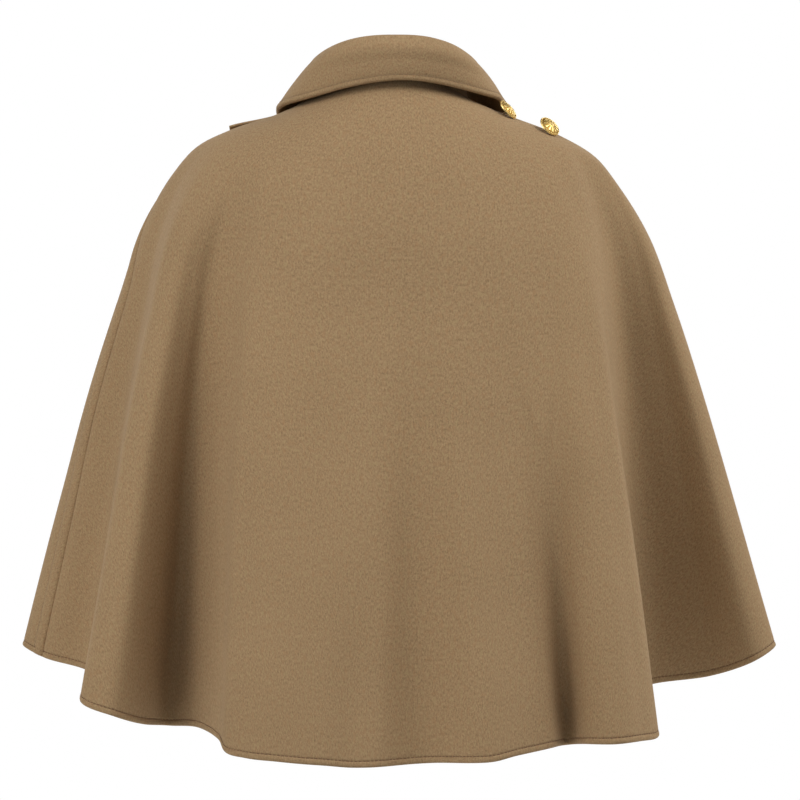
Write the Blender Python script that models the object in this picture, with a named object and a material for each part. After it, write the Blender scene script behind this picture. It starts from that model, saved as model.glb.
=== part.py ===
"""A hip-length wool capelet as it hangs on a wearer: back, two lapped fronts, a turned-down collar,
a tab on the left shoulder and two domed metal buttons on the right shoulder.

Metres, +Z up.  The wearer faces -Y, so +X is the wearer's left.  The origin is the middle of the neck,
level with the place where the shoulders meet it.  A bearing is an angle in degrees round the body from
centre back, growing towards the wearer's left.  A share runs from 0 at the neck seam to 1 at the hem.
Tables are in millimetres.
"""

from collections import namedtuple
import math

import bmesh
import bpy
import numpy as np
from mathutils import Matrix, Vector

MM = 0.001

# Cloth and seams
CLOTH = 2.5 * MM                # thickness of the milled wool
SEAM_GAP = 0.4 * MM             # space left where two pieces meet
WELT_WIDTH = 12.5 * MM          # lapped side seam: the raised band on the front's edge
WELT_RISE = 1.0 * MM
WELT_STEP = 0.12                # part of the width over which the band drops to the cloth beside it
WELT_START = (0.16, 0.24)       # shares over which the band rises, below the shoulder
FRONT_LAP = 30.0 * MM           # each front runs this far past centre front
LAP_SPACE = 1.5 * MM            # air between the two layers of the lap
LAP_EASE = (2.0, 26.0)          # degrees past the lap over which the upper front comes down again
LAP_TOP = 0.02                  # share where the upper front starts, just under the collar
LAP_TOP_EASE = (-155, -115)     # bearings between which that start runs out into the neck seam
FOLD_GROWTH = 1.0               # how a fold deepens from its start down to the hem

# Side seams, as bearings at the shoulder and at the hem
LEFT_SEAM = (96.0, 85.1)
RIGHT_SEAM = (-97.0, -97.0)
SEAM_SWING = (0.2, 0.45)        # shares between which a seam swings from the one to the other

# Collar
COLLAR_WALL = 4.5 * MM          # two layers of the wool, turned and pressed
ROLL_SQUARENESS = 0.75          # below 1 the roll is squarer in plan than an ellipse
COLLAR_END = 3.0                # degrees from centre front to each end of the collar
COLLAR_POINT_SPREAD = 9.0       # further degrees that the fall's front edges lean apart
COLLAR_POINT_EASE = (120, 178)  # bearings over which they begin to lean
COLLAR_STATIONS = (0.0, 0.36, 0.42, 0.48, 0.74, 1.0)  # foot, stand top, roll, fall top, mid fall and edge
FOLD_RADIUS = 4.5 * MM          # roll at the top of the collar
FALL_HOLLOW = 1.0 * MM          # dip of the fall between the roll and its edge
STAND_SPACE = 1.0 * MM          # between the neck edge and the stand inside it
STAND_TUCK = 2.5 * MM           # the stand's foot hangs this far below the neck edge

# Shoulder tab, on the left, by its reach from the middle of the neck
TAB_START = 84.0 * MM
TAB_END = 146.0 * MM
TAB_BACK = -12.0 * MM
TAB_FRONT = -56.0 * MM
TAB_SPACE = 0.5 * MM            # between the shoulder and the tab
TAB_SPRING = 4.5 * MM           # how much further the free end stands off the shoulder

# Buttons, on the right shoulder
BUTTON_RADIUS = 10.0 * MM
BUTTON_EDGE = 1.8 * MM          # thickness at the rim
BUTTON_DOME = 2.4 * MM          # height of the dome above the rim
BUTTON_FACE = 0.86              # part of the radius that lies inside the raised rim
BUTTON_GROOVE = 0.3 * MM        # depth of the step between the rim and the dome
BUTTON_DISH = 0.4 * MM          # hollow of its back round the shank
BUTTON_SHANK = 3.8 * MM
SHANK_RADIUS = 1.6 * MM
SHANK_SPACE = 0.2 * MM          # between the cloth and the lowest place of a leaning shank

# Facets
ROWS = 20                       # the panels share their rows, so that seams run true
BACK_COLUMNS = 60
FRONT_COLUMNS = 28
COLLAR_COLUMNS = 42
COLLAR_ROWS = (0, 0.12, 0.24, 0.34, 0.38, 0.42, 0.46, 0.5, 0.62, 0.75, 0.88, 1)
TAB_CELLS = (8, 7)
BUTTON_SIDES = 20
DOME_STEPS = (0.78, 0.55, 0.28, 0.0)  # parts of the radius
SHARP_ANGLE = math.radians(50)

WOOL_COLOUR = (0.328, 0.216, 0.117)
GILT_COLOUR = (0.83, 0.55, 0.15)

# Where each button is sewn on, and the degrees that it hangs over away from the neck and leans back
ButtonPlace = namedtuple("ButtonPlace", "x y droop turn")
BUTTON_PLACES = (
    ButtonPlace(-93, 28, 23, 15),
    ButtonPlace(-130, 25, 12, 26),
)

# The unfolded shape, ring by ring, with the reach and height of each ring at its four quarters
Ring = namedtuple("Ring", "share back_y back_z left_x left_z right_x right_z front_y front_z")
RINGS = (
    Ring(0.000, 62, 14, 66, 2, 66, -7, 70, -62),
    Ring(0.070, 81, -23, 104, -16, 104, -20, 90, -93),
    Ring(0.147, 102, -66, 146, -30, 145, -36, 111, -128),
    Ring(0.208, 114, -101, 177, -46, 176, -55, 125, -158),
    Ring(0.258, 122, -130, 197, -68, 195, -79, 134, -183),
    Ring(0.344, 132, -181, 223, -112, 220, -120, 148, -226),
    Ring(0.463, 149, -252, 246, -178, 244, -185, 161, -288),
    Ring(0.620, 172, -344, 274, -266, 272, -271, 178, -369),
    Ring(0.775, 193, -435, 297, -355, 298, -358, 194, -449),
    Ring(1.000, 222, -566, 330, -483, 333, -483, 214, -566),
)

# Where ridges and troughs reach the hem, and the share at which each begins
Fold = namedtuple("Fold", "form bearing x y z start")
FOLDS = (
    Fold("centre front", -180, 0, -214, -566, 0.50),
    Fold("ridge", -167, -56, -226, -565, 0.48),
    Fold("trough", -153, -110, -190, -560, 0.45),
    Fold("ridge", -139, -170, -202, -552, 0.42),
    Fold("ridge flank", -127, -212, -166, -541, 0.38),
    Fold("trough over the arm", -114, -226, -88, -518, 0.30),
    Fold("arm flank", -101, -304, -50, -495, 0.25),
    Fold("right arm", -90, -334, -6, -485, 0.25),
    Fold("arm flank", -83, -312, 14, -497, 0.25),
    Fold("arm flank", -76, -276, -15, -512, 0.20),
    Fold("deep trough", -69, -225, -22, -520, 0.18),
    Fold("trough wall", -57, -206, 106, -537, 0.20),
    Fold("right flute", -50, -219, 158, -548, 0.20),
    Fold("flute back", -44, -202, 186, -549, 0.27),
    Fold("flute side", -37, -176, 203, -550, 0.35),
    Fold("sharp trough wall", -33, -157, 193, -551, 0.46),
    Fold("sharp trough", -28, -142, 158, -555, 0.56),
    Fold("sharp trough wall", -23, -126, 198, -554, 0.44),
    Fold("ridge", -18, -100, 222, -557, 0.42),
    Fold("ridge", -11, -74, 231, -562, 0.36),
    Fold("shallow trough", -3, -24, 205, -565, 0.34),
    Fold("centre back", 5, 20, 221, -567, 0.50),
    Fold("ridge", 14, 63, 232, -564, 0.40),
    Fold("left of back", 23, 99, 231, -561, 0.35),
    Fold("flute side", 30, 125, 222, -559, 0.32),
    Fold("flute edge", 34, 141, 204, -557, 0.30),
    Fold("trough wall", 38, 149, 167, -550, 0.24),
    Fold("trough wall", 43, 171, 108, -545, 0.20),
    Fold("deep trough", 48, 197, 74, -547, 0.20),
    Fold("trough wall", 53, 213, 116, -542, 0.20),
    Fold("flute back", 59, 234, 164, -531, 0.20),
    Fold("left flute", 65, 264, 150, -521, 0.18),
    Fold("trough wall", 71, 262, 98, -510, 0.18),
    Fold("trough", 76, 267, 50, -503, 0.18),
    Fold("arm flank", 84, 307, 24, -493, 0.20),
    Fold("left arm", 92, 330, -4, -484, 0.25),
    Fold("arm flank", 103, 304, -50, -495, 0.25),
    Fold("trough over the arm", 116, 236, -92, -518, 0.30),
    Fold("ridge flank", 128, 212, -164, -541, 0.38),
    Fold("ridge", 140, 166, -204, -552, 0.42),
    Fold("trough", 153, 106, -190, -560, 0.45),
    Fold("ridge", 167, 54, -224, -565, 0.48),
    Fold("centre front", 180, 0, -214, -566, 0.50),
)

# The roll along the top of the collar, and the free edge of its fall above the cloth under it
ROLL = Ring(None, 71, 44.5, 72, 28, 68, 26, 84, -36)
CollarEdge = namedtuple("CollarEdge", "bearing share lift")
COLLAR_EDGES = (
    CollarEdge(-180, 0.135, 10),
    CollarEdge(-150, 0.120, 7),
    CollarEdge(-120, 0.085, 6),
    CollarEdge(-105, 0.066, 7.5),
    CollarEdge(-90, 0.047, 8.5),
    CollarEdge(-75, 0.042, 9.8),
    CollarEdge(-60, 0.0385, 9.5),
    CollarEdge(-30, 0.024, 8),
    CollarEdge(0, 0.02, 7.5),
    CollarEdge(30, 0.03, 6.5),
    CollarEdge(60, 0.0525, 5.5),
    CollarEdge(75, 0.060, 5),
    CollarEdge(90, 0.065, 5.2),
    CollarEdge(105, 0.076, 9),
    CollarEdge(120, 0.092, 8.5),
    CollarEdge(150, 0.120, 7),
    CollarEdge(180, 0.135, 10),
)


def columns(rows, *names):
    """The named columns of a table, as one array with a row for each row."""
    return np.array([[getattr(row, name) for name in names] for row in rows], float)


def spline(knots, values, at):
    """A smooth curve through values at knots, read at any array of places."""
    knots, at = np.asarray(knots, float), np.asarray(at, float)
    slopes = np.gradient(values, knots, axis=0)
    i = np.clip(np.searchsorted(knots, at, side="right") - 1, 0, len(knots) - 2)
    span = (knots[i + 1] - knots[i])[..., None]
    t = (at[..., None] - knots[i][..., None]) / span
    start, end = values[i], values[i + 1]
    bend_in, bend_out = slopes[i] * span, slopes[i + 1] * span
    rise = t * t * (3 - 2 * t)
    return start + (end - start) * rise + bend_in * t * (1 - t) ** 2 - bend_out * t * t * (1 - t)


def spline_round(bearings, values, at):
    """The same round a full turn: the last row repeats the first."""
    bearings = np.asarray(bearings, float)
    knots = np.concatenate([bearings[-3:-1] - 360, bearings, bearings[1:3] + 360])
    wrapped = np.concatenate([values[-3:-1], values, values[1:3]])
    return spline(knots, wrapped, (np.asarray(at, float) + 180) % 360 - 180)


def smoothstep(low, high, at):
    t = np.clip((np.asarray(at, float) - low) / (high - low), 0, 1)
    return t * t * (3 - 2 * t)


QUARTERS = Ring._fields[1:]
FOLD_BEARINGS = columns(FOLDS, "bearing")[:, 0]
FOLD_POINTS = columns(FOLDS, "x", "y", "z") * MM
FOLD_STARTS = columns(FOLDS, "start")


def round_ring(quarters, bearing, squareness=1.0):
    """Points on a ring given by its quarters: an ellipse in plan that rises and falls between them."""
    back_y, back_z, left_x, left_z, right_x, right_z, front_y, front_z = np.moveaxis(quarters, -1, 0)
    sine, cosine = np.sin(np.radians(bearing)), np.cos(np.radians(bearing))
    side_x, side_z = np.where(sine > 0, left_x, right_x), np.where(sine > 0, left_z, right_z)
    end_y, end_z = np.where(cosine > 0, back_y, front_y), np.where(cosine > 0, back_z, front_z)
    x = side_x * np.sign(sine) * np.abs(sine) ** squareness
    y = end_y * np.sign(cosine) * np.abs(cosine) ** squareness
    z = side_z + (end_z - side_z) * cosine**2
    return np.stack([x, y, z], -1) * MM


def cape_point(bearing, share):
    """The outer face of the cape at arrays of bearings and shares."""
    bearing, share = np.broadcast_arrays(np.asarray(bearing, float), np.asarray(share, float))
    plain = round_ring(spline([r.share for r in RINGS], columns(RINGS, *QUARTERS), share), bearing)
    plain_hem = round_ring(columns(RINGS[-1:], *QUARTERS)[0], bearing)
    folded_hem = spline_round(FOLD_BEARINGS, FOLD_POINTS, bearing)
    start = spline_round(FOLD_BEARINGS, FOLD_STARTS, bearing)[..., 0]
    grown = np.clip((share - start) / (1 - start), 0, 1) ** FOLD_GROWTH
    return plain + (folded_hem - plain_hem) * grown[..., None]


def normals(point, u, v, step=1e-3):
    """Unit normals of a surface point(u, v), by small steps each way."""
    across = point(u + step, v) - point(u - step, v)
    along = point(u, v + step) - point(u, v - step)
    normal = np.cross(across, along)
    return normal / np.linalg.norm(normal, axis=-1, keepdims=True)


def cape_lifted(bearing, share, lift):
    """A point moved straight out from the cape's outer face."""
    lift = np.broadcast_to(np.asarray(lift, float), np.broadcast(bearing, share).shape)
    return cape_point(bearing, share) + normals(cape_point, bearing, share) * lift[..., None]


def over_place(x, y, first_bearing):
    """Bearing and share of the place on a shoulder that lies above or below (x, y)."""
    target = np.stack([x, y], -1)
    bearing = np.full(x.shape, float(first_bearing))
    share = np.full(x.shape, 0.1)
    for _ in range(20):
        miss = target - cape_point(bearing, share)[..., :2]
        turn = cape_point(bearing + 0.5, share)[..., :2] - cape_point(bearing - 0.5, share)[..., :2]
        slide = (cape_point(bearing, share + 0.005) - cape_point(bearing, share - 0.005))[..., :2] / 0.01
        size = turn[..., 0] * slide[..., 1] - turn[..., 1] * slide[..., 0]
        bearing = bearing + (miss[..., 0] * slide[..., 1] - miss[..., 1] * slide[..., 0]) / size
        share = share + (turn[..., 0] * miss[..., 1] - turn[..., 1] * miss[..., 0]) / size
    return bearing, share


def material(name, colour, roughness, metallic):
    made = bpy.data.materials.new(name)
    made.use_nodes = True
    shader = made.node_tree.nodes["Principled BSDF"]
    shader.inputs["Base Color"].default_value = (*colour, 1.0)
    shader.inputs["Roughness"].default_value = roughness
    shader.inputs["Metallic"].default_value = metallic
    return made


def add_object(name, bm, finish):
    mesh = bpy.data.meshes.new(name)
    bm.normal_update()
    bm.to_mesh(mesh)
    bm.free()
    mesh.materials.append(finish)
    mesh.shade_smooth()
    mesh.set_sharp_from_angle(angle=SHARP_ANGLE)
    made = bpy.data.objects.new(name, mesh)
    bpy.context.scene.collection.objects.link(made)
    return made


def wall(name, outer, inner, finish):
    """A closed wall between two grids of points, with its four edges filled in."""
    bm = bmesh.new()
    faces = [[[bm.verts.new(Vector(p)) for p in row] for row in grid] for grid in (outer, inner)]
    rows, cols = len(outer), len(outer[0])
    for grid, flip in zip(faces, (1, -1)):
        for j in range(rows - 1):
            for i in range(cols - 1):
                corners = (grid[j][i], grid[j + 1][i], grid[j + 1][i + 1], grid[j][i + 1])
                bm.faces.new(corners[::flip])
    top_and_down = [(0, i) for i in range(cols)] + [(j, cols - 1) for j in range(1, rows)]
    back_again = [(rows - 1, i) for i in range(cols - 2, -1, -1)] + [(j, 0) for j in range(rows - 2, 0, -1)]
    edge = top_and_down + back_again
    for here, there in zip(edge, edge[1:] + edge[:1]):
        ring = [faces[side][j][i] for side, (j, i) in ((0, here), (0, there), (1, there), (1, here))]
        bm.faces.new(ring)
    bmesh.ops.triangulate(bm, faces=bm.faces, quad_method="SHORT_EDGE")
    bmesh.ops.recalc_face_normals(bm, faces=bm.faces)
    return add_object(name, bm, finish)


def seam_bearing(seam, share):
    shoulder, hem = seam
    return shoulder + (hem - shoulder) * smoothstep(*SEAM_SWING, share)


def lap_bearing(share):
    """Degrees past centre front at which a straight front edge lies."""
    front_reach = spline([r.share for r in RINGS], columns(RINGS, "front_y"), share)[..., 0] * MM
    return np.degrees(np.arcsin(FRONT_LAP / front_reach))


def half_gap(bearing, share):
    """Half of the seam gap, in degrees of bearing."""
    per_degree = np.linalg.norm(cape_point(bearing + 0.5, share) - cape_point(bearing - 0.5, share), axis=-1)
    return 0.5 * SEAM_GAP / per_degree


def even_steps(first, last, count):
    """Fractions from 0 to 1 that space columns evenly along the hem between two bearings."""
    bearings = np.linspace(first, last, 40 * count + 1)
    run = np.linalg.norm(np.diff(cape_point(bearings, 1.0), axis=0), axis=-1)
    length = np.concatenate([[0], np.cumsum(run)])
    return np.interp(np.linspace(0, length[-1], count + 1), length, np.linspace(0, 1, 40 * count + 1))


def panel(name, first, last, count, finish, top=None, lift=None, welt_at=None):
    """A panel of the cape between two edges, each a function from shares to bearings."""
    share = np.linspace(0, 1, ROWS + 1)
    steps = even_steps(first(np.array(1.0)), last(np.array(1.0)), count)
    low, high = first(share)[:, None], last(share)[:, None]
    band = 0.0
    if welt_at is not None:
        per_degree = cape_point(low[-1] + 0.5, 1.0) - cape_point(low[-1] - 0.5, 1.0)
        band = float(WELT_WIDTH / np.linalg.norm(per_degree) / (high - low)[-1, 0])
        welt_steps = np.abs(welt_at - np.array([band, band * (1 + WELT_STEP)]))
        steps = np.sort(np.concatenate([steps, welt_steps]))
    bearing = low + (high - low) * steps
    share = np.broadcast_to(share[:, None], bearing.shape)
    if top is not None:
        start = top(bearing[0])
        share = start + (1 - start) * share
    inner = np.zeros(bearing.shape) if lift is None else lift(bearing, share)
    outer = inner.copy()
    if welt_at is not None:
        on_welt = np.abs(steps - welt_at) < band * (1 + 0.5 * WELT_STEP)
        outer += WELT_RISE * on_welt * smoothstep(*WELT_START, share)
    outer_face = cape_lifted(bearing, share, outer)
    inner_face = cape_lifted(bearing, share, inner - CLOTH)
    return wall(name, outer_face, inner_face, finish)


def back_panel(finish):
    def right_edge(share):
        seam = seam_bearing(RIGHT_SEAM, share)
        return seam + half_gap(seam, share)

    def left_edge(share):
        seam = seam_bearing(LEFT_SEAM, share)
        return seam - half_gap(seam, share)

    return panel("back", right_edge, left_edge, BACK_COLUMNS, finish)


def front_left(finish):
    """The lower front: it runs past centre front under the other one."""
    def side_edge(share):
        seam = seam_bearing(LEFT_SEAM, share)
        return seam + half_gap(seam, share)

    def centre_edge(share):
        return 180 + lap_bearing(share)

    return panel("front_left", side_edge, centre_edge, FRONT_COLUMNS, finish, welt_at=0)


def front_right(finish):
    """The upper front: it rises onto the lower one where they lap."""
    def centre_edge(share):
        return -180 - lap_bearing(share)

    def side_edge(share):
        seam = seam_bearing(RIGHT_SEAM, share)
        return seam - half_gap(seam, share)

    def lap_top(bearing):
        return LAP_TOP * (1 - smoothstep(*LAP_TOP_EASE, bearing))

    def lap_lift(bearing, share):
        past = bearing + 180 - lap_bearing(share)
        return (CLOTH + LAP_SPACE) * (1 - smoothstep(*LAP_EASE, past))

    return panel("front_right", centre_edge, side_edge, FRONT_COLUMNS, finish, lap_top, lap_lift, welt_at=1)


def collar_mid(bearing, along):
    """The middle of the collar's wall: 0 at the neck seam, 1 at the free edge of the fall."""
    edge_bearings = columns(COLLAR_EDGES, "bearing")[:, 0]
    edge_places = spline_round(edge_bearings, columns(COLLAR_EDGES, "share", "lift"), bearing)
    share, lift = np.moveaxis(edge_places, -1, 0)
    neck = cape_point(bearing, 0.0)
    roll = round_ring(columns([ROLL], *QUARTERS)[0], bearing, ROLL_SQUARENESS)
    lean = COLLAR_POINT_SPREAD * smoothstep(*COLLAR_POINT_EASE, np.abs(bearing)) * np.sign(bearing)
    edge = cape_lifted(bearing - lean, share, lift * MM)
    out = (edge - neck) * [1, 1, 0]
    out = out / np.linalg.norm(out, axis=-1, keepdims=True)
    foot = neck - out * (1.5 * CLOTH + STAND_SPACE) - [0, 0, STAND_TUCK]
    below_roll = roll - [0, 0, FOLD_RADIUS]
    stand_top = below_roll - out * FOLD_RADIUS
    fall_top = below_roll + out * FOLD_RADIUS
    fall_middle = (fall_top + edge) / 2 - out * FALL_HOLLOW
    stations = (foot, stand_top, roll, fall_top, fall_middle, edge)
    weights = spline(COLLAR_STATIONS, np.eye(len(stations)), along)
    return sum(weights[..., k, None] * station for k, station in enumerate(stations))


def collar(finish):
    bearings = np.linspace(COLLAR_END - 180, 180 - COLLAR_END, COLLAR_COLUMNS + 1)
    bearing, along = np.meshgrid(bearings, COLLAR_ROWS)
    middle = collar_mid(bearing, along)
    normal = normals(collar_mid, bearing, np.clip(along, 0.001, 0.999))
    thickness = CLOTH + (COLLAR_WALL - CLOTH) * smoothstep(0.0, 0.6, along)
    half = normal * thickness[..., None] / 2
    return wall("collar", middle + half, middle - half, finish)


def shoulder_tab(finish):
    """A square-ended tab along the left shoulder, sewn in under the collar and free at its outer end."""
    reach = np.linspace(TAB_START, TAB_END, TAB_CELLS[0] + 1)
    across = np.linspace(TAB_BACK, TAB_FRONT, TAB_CELLS[1] + 1)
    y, x = np.meshgrid(across, reach)
    bearing, share = over_place(x, y, 90)
    gap = TAB_SPACE + TAB_SPRING * ((x - TAB_START) / (TAB_END - TAB_START)) ** 2
    top_face = cape_lifted(bearing, share, gap + CLOTH)
    under_face = cape_lifted(bearing, share, gap)
    return wall("shoulder_tab", top_face, under_face, finish)


def button(name, place, finish):
    """A domed shank button, turned from one profile and hung over away from the neck."""
    x, y = (np.array([value]) * MM for value in place[:2])
    bearing, share = over_place(x, y, -90)
    normal = Vector(normals(cape_point, bearing, share)[0])
    axis = Matrix.Rotation(math.radians(-place.droop), 3, "Y") @ normal
    axis = Matrix.Rotation(math.radians(-place.turn), 3, "X") @ axis
    seat = SHANK_SPACE + SHANK_RADIUS * math.sin(normal.angle(axis))
    foot = Vector(cape_lifted(bearing, share, seat)[0])

    rim = BUTTON_SHANK + BUTTON_EDGE
    profile = [
        (0, 0),
        (SHANK_RADIUS, 0),
        (SHANK_RADIUS, BUTTON_SHANK - BUTTON_DISH),
        (BUTTON_RADIUS * 0.8, BUTTON_SHANK),
        (BUTTON_RADIUS, BUTTON_SHANK + 0.5 * BUTTON_EDGE),
        (BUTTON_RADIUS * 0.97, rim),
        (BUTTON_RADIUS * BUTTON_FACE, rim - BUTTON_GROOVE),
    ]
    for part in DOME_STEPS:
        profile.append((BUTTON_RADIUS * part, rim + BUTTON_DOME * (1 - (part / BUTTON_FACE) ** 2)))
    bm = bmesh.new()
    points = [bm.verts.new((radius, 0, height)) for radius, height in profile]
    edges = [bm.edges.new(pair) for pair in zip(points, points[1:])]
    whole_turn = {"axis": (0, 0, 1), "cent": (0, 0, 0), "angle": math.tau}
    bmesh.ops.spin(bm, geom=points + edges, steps=BUTTON_SIDES, use_merge=True, **whole_turn)
    bmesh.ops.remove_doubles(bm, verts=bm.verts, dist=0.01 * MM)
    bmesh.ops.recalc_face_normals(bm, faces=bm.faces)
    made = add_object(name, bm, finish)
    made.location = foot
    made.rotation_euler = axis.to_track_quat("Z", "Y").to_euler()
    return made


def build():
    for old in list(bpy.data.objects):
        bpy.data.objects.remove(old)
    wool = material("camel_wool", WOOL_COLOUR, roughness=0.92, metallic=0.0)
    gilt = material("gilt_metal", GILT_COLOUR, roughness=0.3, metallic=1.0)
    back_panel(wool)
    front_left(wool)
    front_right(wool)
    collar(wool)
    shoulder_tab(wool)
    for number, place in enumerate(BUTTON_PLACES, 1):
        button(f"button_{number}", place, gilt)


build()
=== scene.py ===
import math

import bpy
import numpy as np
from mathutils import Matrix, Vector


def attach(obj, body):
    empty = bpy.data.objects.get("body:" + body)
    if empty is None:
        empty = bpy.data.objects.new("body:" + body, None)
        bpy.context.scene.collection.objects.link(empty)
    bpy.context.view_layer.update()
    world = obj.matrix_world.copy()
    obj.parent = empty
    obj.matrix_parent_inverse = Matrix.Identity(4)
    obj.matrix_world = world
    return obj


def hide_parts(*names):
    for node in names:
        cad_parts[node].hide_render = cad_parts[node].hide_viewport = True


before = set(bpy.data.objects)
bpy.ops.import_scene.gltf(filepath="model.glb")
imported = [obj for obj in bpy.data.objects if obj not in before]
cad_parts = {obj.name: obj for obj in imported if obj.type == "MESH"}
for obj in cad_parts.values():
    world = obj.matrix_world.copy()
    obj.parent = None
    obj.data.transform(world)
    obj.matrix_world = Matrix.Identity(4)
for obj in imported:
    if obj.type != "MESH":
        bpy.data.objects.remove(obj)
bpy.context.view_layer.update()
mm = 0.001
print("frame loaded:", ", ".join(sorted(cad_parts)))


# camera: straight behind the wearer, level with the middle of the cape
cameraSettings = {
    "distance": 3.0,
    "across": -2.64 * mm,
    "height": -267.5 * mm,
    "focalPixels": 3409,
    "framePixels": 800,
    "sensor": 36.0,
}


def placeCamera(settings):
    lens = bpy.data.cameras.new("photoCamera")
    lens.sensor_width = settings["sensor"]
    lens.lens = settings["sensor"] * settings["focalPixels"] / settings["framePixels"]
    eye = bpy.data.objects.new("photoCamera", lens)
    eye.location = (settings["across"], settings["distance"], settings["height"])
    eye.rotation_euler = (math.radians(90), 0, math.radians(180))
    bpy.context.scene.collection.objects.link(eye)
    bpy.context.scene.camera = eye


placeCamera(cameraSettings)
print("camera placed")


# the hanging form: a bearing is degrees round the body from centre back, growing towards the wearer's left,
# and a share runs from 0 at the neck seam to 1 at the hem; reaches and heights are in mm
formSettings = {"foldGrowth": 1.0, "rollSquareness": 0.75}

ringColumns = ("share", "backY", "backZ", "leftX", "leftZ", "rightX", "rightZ", "frontY", "frontZ")
ringRows = np.array((
    (0.000, 62, 14, 66, 2, 66, -7, 70, -62),
    (0.070, 81, -23, 104, -16, 104, -20, 90, -93),
    (0.147, 102, -66, 146, -30, 145, -36, 111, -128),
    (0.208, 114, -101, 177, -46, 176, -55, 125, -158),
    (0.258, 122, -130, 197, -68, 195, -79, 134, -183),
    (0.344, 132, -181, 223, -112, 220, -120, 148, -226),
    (0.463, 149, -252, 246, -178, 244, -185, 161, -288),
    (0.620, 172, -344, 274, -266, 272, -271, 178, -369),
    (0.775, 193, -435, 297, -355, 298, -358, 194, -449),
    (1.000, 222, -566, 330, -483, 333, -483, 214, -566),
))

# where each ridge and trough reaches the hem, and the share at which it begins
# columns: bearing, x, y, z, start
foldRows = np.array((
    (-180, 0, -214, -566, 0.50),
    (-167, -56, -226, -565, 0.48),
    (-153, -110, -190, -560, 0.45),
    (-139, -170, -202, -552, 0.42),
    (-127, -212, -166, -541, 0.38),
    (-114, -226, -88, -518, 0.30),
    (-101, -304, -50, -495, 0.25),
    (-90, -334, -6, -485, 0.25),      # right arm
    (-83, -312, 14, -497, 0.25),
    (-76, -276, -15, -512, 0.20),
    (-69, -225, -22, -520, 0.18),      # deep trough behind the right arm
    (-57, -206, 106, -537, 0.20),
    (-50, -219, 158, -548, 0.20),     # right flute
    (-44, -202, 186, -549, 0.27),
    (-37, -176, 203, -550, 0.35),
    (-33, -157, 193, -551, 0.46),
    (-28, -142, 158, -555, 0.56),     # sharp trough
    (-23, -126, 198, -554, 0.44),
    (-18, -100, 222, -557, 0.42),
    (-11, -74, 231, -562, 0.36),
    (-3, -24, 205, -565, 0.34),
    (5, 20, 221, -567, 0.50),         # centre back
    (14, 63, 232, -564, 0.40),
    (23, 99, 231, -561, 0.35),
    (30, 125, 222, -559, 0.32),
    (34, 141, 204, -557, 0.30),
    (38, 149, 167, -550, 0.24),
    (43, 171, 108, -545, 0.20),
    (48, 197, 74, -547, 0.20),       # deep trough left of the back
    (53, 213, 116, -542, 0.20),
    (59, 234, 164, -531, 0.20),
    (65, 264, 150, -521, 0.18),       # left flute
    (71, 262, 98, -510, 0.18),
    (76, 267, 50, -503, 0.18),
    (84, 307, 24, -493, 0.20),
    (92, 330, -4, -484, 0.25),        # left arm
    (103, 304, -50, -495, 0.25),
    (116, 236, -92, -518, 0.30),
    (128, 212, -164, -541, 0.38),
    (140, 166, -204, -552, 0.42),
    (153, 106, -190, -560, 0.45),
    (167, 54, -224, -565, 0.48),
    (180, 0, -214, -566, 0.50),
))


def spline(knots, values, at):
    knots, at = np.asarray(knots, float), np.asarray(at, float)
    slopes = np.gradient(values, knots, axis=0)
    i = np.clip(np.searchsorted(knots, at, side="right") - 1, 0, len(knots) - 2)
    span = (knots[i + 1] - knots[i])[..., None]
    t = (at[..., None] - knots[i][..., None]) / span
    start, end = values[i], values[i + 1]
    bendIn, bendOut = slopes[i] * span, slopes[i + 1] * span
    rise = t * t * (3 - 2 * t)
    return start + (end - start) * rise + bendIn * t * (1 - t) ** 2 - bendOut * t * t * (1 - t)


def splineRound(bearings, values, at):
    knots = np.concatenate([bearings[-3:-1] - 360, bearings, bearings[1:3] + 360])
    wrapped = np.concatenate([values[-3:-1], values, values[1:3]])
    return spline(knots, wrapped, (np.asarray(at, float) + 180) % 360 - 180)


def smoothStep(low, high, at):
    t = np.clip((np.asarray(at, float) - low) / (high - low), 0, 1)
    return t * t * (3 - 2 * t)


def roundRing(quarters, bearing, squareness=1.0):
    backY, backZ, leftX, leftZ, rightX, rightZ, frontY, frontZ = np.moveaxis(quarters, -1, 0)
    sine, cosine = np.sin(np.radians(bearing)), np.cos(np.radians(bearing))
    sideX, sideZ = np.where(sine > 0, leftX, rightX), np.where(sine > 0, leftZ, rightZ)
    endY, endZ = np.where(cosine > 0, backY, frontY), np.where(cosine > 0, backZ, frontZ)
    x = sideX * np.sign(sine) * np.abs(sine) ** squareness
    y = endY * np.sign(cosine) * np.abs(cosine) ** squareness
    z = sideZ + (endZ - sideZ) * cosine**2
    return np.stack([x, y, z], -1) * mm


def capePoint(bearing, share):
    bearing, share = np.broadcast_arrays(np.asarray(bearing, float), np.asarray(share, float))
    plain = roundRing(spline(ringRows[:, 0], ringRows[:, 1:], share), bearing)
    plainHem = roundRing(ringRows[-1, 1:], bearing)
    fold = splineRound(foldRows[:, 0], foldRows[:, 1:], bearing)
    start = fold[..., -1]
    grown = np.clip((share - start) / (1 - start), 0, 1) ** formSettings["foldGrowth"]
    return plain + (fold[..., :3] * mm - plainHem) * grown[..., None]


def slopesOf(point, u, v, step=1e-3):
    across = (point(u + step, v) - point(u - step, v)) / (2 * step)
    along = (point(u, v + step) - point(u, v - step)) / (2 * step)
    return across, along


def lengthOf(vectors):
    return np.linalg.norm(vectors, axis=-1)


def unit(vectors):
    return vectors / lengthOf(vectors)[..., None]


def normalOf(across, along):
    return unit(np.cross(across, along))


def runAlong(points):
    return np.concatenate([[0], np.cumsum(lengthOf(np.diff(points, axis=0)))])


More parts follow.
